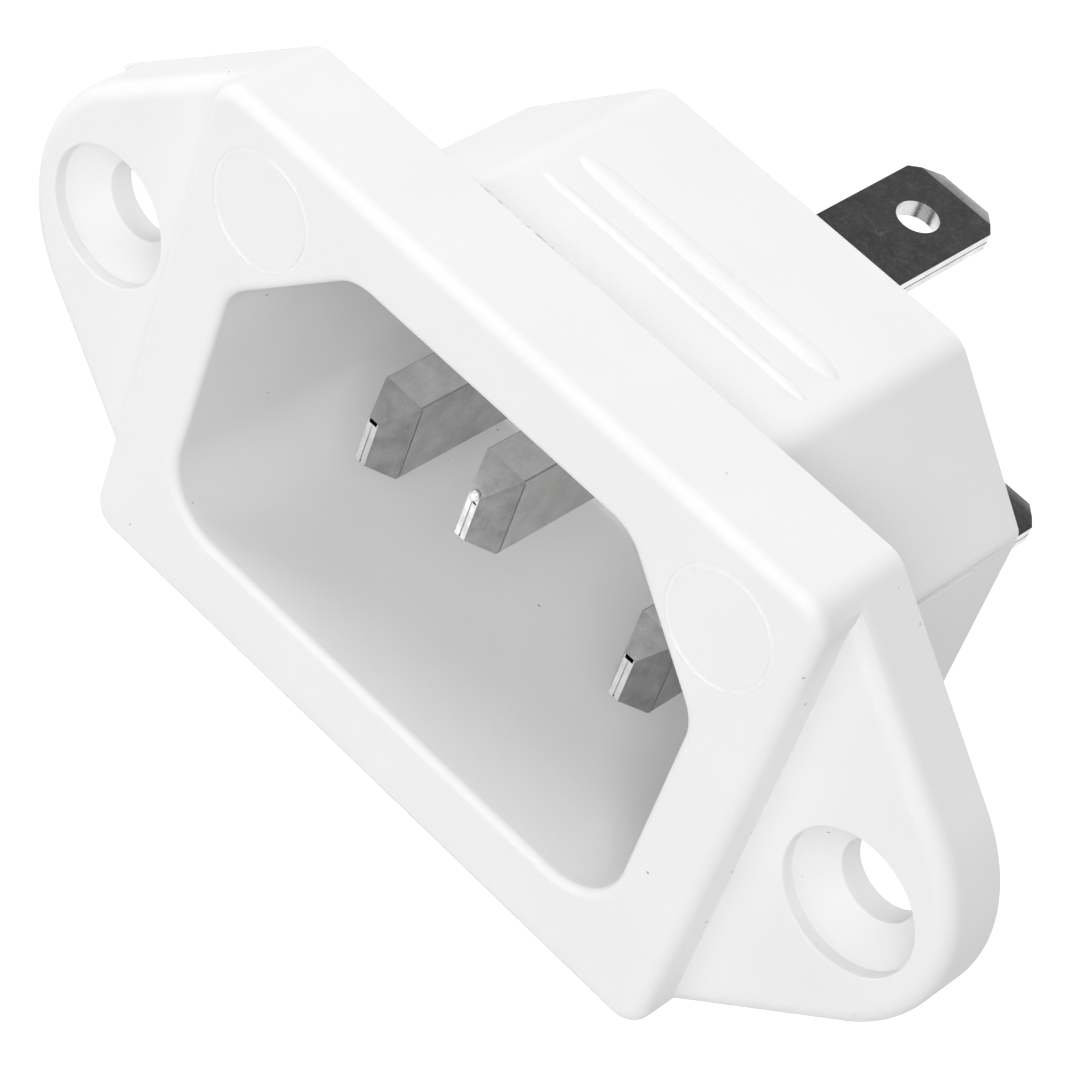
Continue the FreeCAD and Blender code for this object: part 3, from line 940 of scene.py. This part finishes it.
def empty_tree(holder):
    """Cleared shader tree of a material or a world."""
    holder.use_nodes = True
    holder.node_tree.nodes.clear()
    return holder.node_tree


def start_material(material, sizes, stretch=(1.0, 1.0, 1.0)):
    """Shader and shared marks. The sizes are those of the clouds, the grain and the scratches."""
    tree = empty_tree(material)
    shader = put(tree, "ShaderNodeBsdfPrincipled")
    put(tree, "ShaderNodeOutputMaterial", {"Surface": shader})
    titles = ("Cloud Size", "Grain Size", "Scratch Size", "Stretch")
    group = put(tree, "ShaderNodeGroup", node_tree=surface_marks)
    feed(tree, group, dict(zip(titles, (*sizes, stretch))))
    return tree, shader, group.outputs


def blend(tree, factor, first, second):
    """Colour between two others."""
    return put(tree, "ShaderNodeMix", {0: factor, 6: first, 7: second}, data_type="RGBA").outputs[2]


def bump(tree, height, distance):
    return put(tree, "ShaderNodeBump", {"Height": height, "Distance": distance * MM, "Strength": 1.0})


def grey(level, warmth=0.0):
    return (level, level, level - warmth, 1.0)


# %% [markdown]
# ## Satin white plastic
#
# The housing is a hard thermoplastic, white with a hint of grey and finished satin by a fine texture in
# the mould. Its colour hardly changes, so the eye reads the faint clouding, the grain and a few dark
# specks of dust in the melt. The specks are cells of a Voronoi texture: only cells whose random value is
# extreme get one. A thin broken dark line of painted shade runs along the flange's upper back edge, left
# of the middle. Its mask is a product of ramps along the three axes, broken up by noise.

# %% Housing material
def painted_edge_shade(tree, place):
    """Mask of the line of painted shade on the flange's upper back edge. The place is in millimetres."""
    x, y, z = split(tree, place)
    noise = put(tree, "ShaderNodeTexNoise", {"Vector": place, "Scale": 2.5, "Detail": 2.0})
    mask = ramp(tree, noise, 0.45, 0.58, 0.2, 1.0)
    for axis, low, high, at_low in ((x, -7.5, -5.5, 0.0), (x, -2.5, -0.5, 1.0), (y, -0.16, -0.12, 0.0),
                                    (z, bezel_top - 0.2, bezel_top - 0.16, 0.0)):
        mask = calculate(tree, "MULTIPLY", mask, ramp(tree, axis, low, high, at_low, 1.0 - at_low))
    return mask


def paint_plastic():
    tree, shader, marks = start_material(plastic, (6.0, 0.16, 5.0))
    cells = put(tree, "ShaderNodeTexVoronoi", {"Vector": marks["Millimetres"], "Scale": 0.9})
    pick = put(tree, "ShaderNodeSeparateColor", {0: cells.outputs["Color"]})
    chosen = ramp(tree, pick, 0.86, 0.865)
    speck = calculate(tree, "MULTIPLY", chosen, ramp(tree, cells.outputs["Distance"], 0.035, 0.07, 1.0, 0.0))
    clouded = blend(tree, ramp(tree, marks["Clouds"], 0.35, 0.65),
                    (0.885, 0.887, 0.885, 1.0), (0.905, 0.907, 0.906, 1.0))
    grained = blend(tree, ramp(tree, marks["Grain"], 0.35, 0.7, 0.0, 0.12), clouded, grey(0.84))
    specked = blend(tree, speck, grained, grey(0.42, 0.01))
    # The thin broken line on the flange's upper back edge is painted shade, a dark grey blended in by its
    # mask.
    colour = blend(tree, painted_edge_shade(tree, marks["Millimetres"]), specked, grey(0.47, 0.02))
    feed(tree, shader, {"Base Color": colour, "Roughness": ramp(tree, marks["Clouds"], 0.3, 0.7, 0.5, 0.6),
                        "Normal": bump(tree, marks["Grain"], 0.004), "IOR": 1.49, "Specular IOR Level": 0.3})


paint_plastic()

# %% [markdown]
# ## Plated sheet and sheared edges
#
# The contacts are plated brass. Inside the cavity the plating is a matte mid grey. On the sides and tips of
# the pole blades a darker grey is painted shade, and so is the duller grey of the pressed facets and the
# fine lines. On the tabs the plating is painted nearly black, a painted dark reflection of the surroundings,
# with paler rubbed clouds and fine scratches that cross it, and the earth tab's bevel is a dark grey of
# painted shade. Where the sheet was sheared or drilled the metal is bright and burnished. The seam between
# the layers is dark, and the same near-black is painted shade in the pocket at the top of each tip. All
# share one recipe, with other colours and roughness.

# %% Contact materials
def paint_metal(name, greys, roughness, sizes, stretch=(1.0, 1.0, 1.0), warmth=0.0):
    """Clouds between a dark and a light grey, with grain and scratches in the grey of rubbed metal."""
    tree, shader, marks = start_material(metal[name], sizes, stretch)
    dark, light, rubbed = greys
    low, high = roughness
    base = blend(tree, ramp(tree, marks["Clouds"], 0.35, 0.68), grey(dark, warmth), grey(light, warmth))
    grained = blend(tree, ramp(tree, marks["Grain"], 0.45, 0.75, 0.0, 0.35), base, grey(rubbed))
    colour = blend(tree, ramp(tree, marks["Scratches"], 0.0, 1.0, 0.0, 0.7), grained, grey(rubbed))
    feed(tree, shader, {"Base Color": colour, "Roughness": ramp(tree, marks["Clouds"], 0.3, 0.7, high, low),
                        "Normal": bump(tree, marks["Grain"], 0.003), "Metallic": 1.0})


along_blade = (1.0, 0.3, 1.0)
along_edge = (1.0, 0.25, 1.0)
upright = (1.0, 1.0, 0.3)
paint_metal("blade_plating", (0.66, 0.8, 0.9), (0.5, 0.6), (1.4, 0.12, 1.6), along_blade, warmth=0.005)
# A darker copy of the blade plating for the pole blades' sides and tips: painted shade.
paint_metal("blade_side_painted_shade", (0.46, 0.57, 0.7), (0.5, 0.6), (1.4, 0.12, 1.6), along_blade, warmth=0.004)
# The duller grey of the slanted facets and the fine grooves is painted shade.
paint_metal("pressed_bevel_painted_shade", (0.34, 0.45, 0.56), (0.45, 0.55), (0.8, 0.1, 1.1), upright)
paint_metal("coined_tip", (0.5, 0.68, 0.82), (0.5, 0.6), (0.5, 0.16, 0.7), (3.0, 1.0, 0.25))
# The dark grey of the earth tab's bevel is painted shade.
paint_metal("tab_bevel_painted_shade", (0.15, 0.22, 0.32), (0.4, 0.5), (1.2, 0.1, 1.1), upright)
# The tabs' near-black plating is a painted dark reflection; the paler clouds and scratches are rubbed wear.
paint_metal("tab_plating_painted_dark_reflection", (0.034, 0.048, 0.1), (0.35, 0.45), (0.7, 0.14, 1.3), (1.0, 0.8, 1.0))
paint_metal("sheared_edge", (0.62, 0.74, 0.84), (0.22, 0.34), (0.8, 0.08, 0.9), along_edge, warmth=0.01)
# Near-black for the dark seam between the layers, and painted shade in the pocket at the top of each tip.
paint_metal("dark_seam_and_painted_pocket_shade", (0.015, 0.025, 0.04), (0.5, 0.6), (0.5, 0.1, 1.0))
print("painted", len(metal), "metal finishes")

# %% [markdown]
# ## Floor and light
#
# The photograph is lit like a catalogue picture: light from all round, a little more from above and from
# the left, and a white ground. The world gives the light from all round, and five soft lamps shape it:
# one high on the left, one beside the camera, one low and close in front for the cavity, one behind, and
# a weak one on the right for the body's end face. The low lamp and the one behind light a face each, and
# little of the rounded edge between the two, so that the edge burns out less. The camera, mirrors and
# clear bodies see a plain white world. The floor lies well below. Near the object it takes a soft shadow,
# and further out it fades into white. It returns little light, so faces that look down are darker.

# %% Stage
def seen_ray(tree):
    """1 for a ray that the camera, a mirror or a clear body looks along, otherwise 0."""
    path = put(tree, "ShaderNodeLightPath").outputs
    either = calculate(tree, "MAXIMUM", path["Is Camera Ray"], path["Is Glossy Ray"])
    return calculate(tree, "MAXIMUM", either, path["Is Transmission Ray"])


def world_light(strength):
    world = bpy.data.worlds.new("white_studio")
    scene.world = world
    tree = empty_tree(world)
    level = put(tree, "ShaderNodeMix", {0: seen_ray(tree), 2: strength, 3: 1.0}, data_type="FLOAT")
    sky = put(tree, "ShaderNodeBackground", {"Color": grey(1.0), "Strength": level})
    put(tree, "ShaderNodeOutputWorld", {"Surface": sky})


def lamp(name, place, size, level):
    """Square soft lamp that looks at the object. The level is how bright it makes white that faces it."""
    spot = Vector(place) * MM
    light = bpy.data.lights.new(name, "AREA")
    light.size = size * MM
    light.energy = level * math.pi ** 2 * spot.length_squared
    holder = bpy.data.objects.new(name, light)
    scene.collection.objects.link(holder)
    holder.matrix_world = looking(spot, Vector())


def floor(height, half):
    """Pale floor. To the camera it is white, apart from the soft shadow that falls on it."""
    corners = [(x * MM, y * MM, height * MM) for x, y in rectangle(-half, half, -half, half)]
    mesh = bpy.data.meshes.new("floor")
    mesh.from_pydata(corners, [], [(0, 1, 2, 3)])
    ground = link("floor", mesh)
    paint = bpy.data.materials.new("floor_paint")
    mesh.materials.append(paint)
    tree = empty_tree(paint)
    dull = put(tree, "ShaderNodeBsdfDiffuse", {"Color": grey(0.45)})
    white = put(tree, "ShaderNodeBsdfDiffuse", {"Color": grey(0.8)})
    glow = put(tree, "ShaderNodeEmission", {"Color": grey(1.0), "Strength": 0.42})
    near = put(tree, "ShaderNodeAddShader", {0: white, 1: glow})
    plain = put(tree, "ShaderNodeEmission", {"Color": grey(1.0), "Strength": 1.0})
    place = put(tree, "ShaderNodeTexCoord").outputs["Object"]
    away = put(tree, "ShaderNodeVectorMath", {0: place}, operation="LENGTH").outputs["Value"]
    fade_start, fade_end = 150 * MM, 350 * MM
    far = ramp(tree, away, fade_start, fade_end, interpolation_type="SMOOTHSTEP")
    faded = put(tree, "ShaderNodeMixShader", {0: far, 1: near, 2: plain})
    shown = put(tree, "ShaderNodeMixShader", {0: seen_ray(tree), 1: dull, 2: faded})
    put(tree, "ShaderNodeOutputMaterial", {"Surface": shown})


world_light(0.38)
lamp("high_left", (-350, 0, 350), 300, 0.51)
lamp("beside_camera", (190, -330, 300), 200, 0.4)
lamp("low_front", (-30, -150, -60), 150, 0.6)
lamp("behind", (0, 500, 100), 300, 0.3)
lamp("right", (500, 0, 0), 300, 0.12)
floor(-60.0, 3000.0)
scene.view_settings.view_transform = "Standard"
print("stage set")
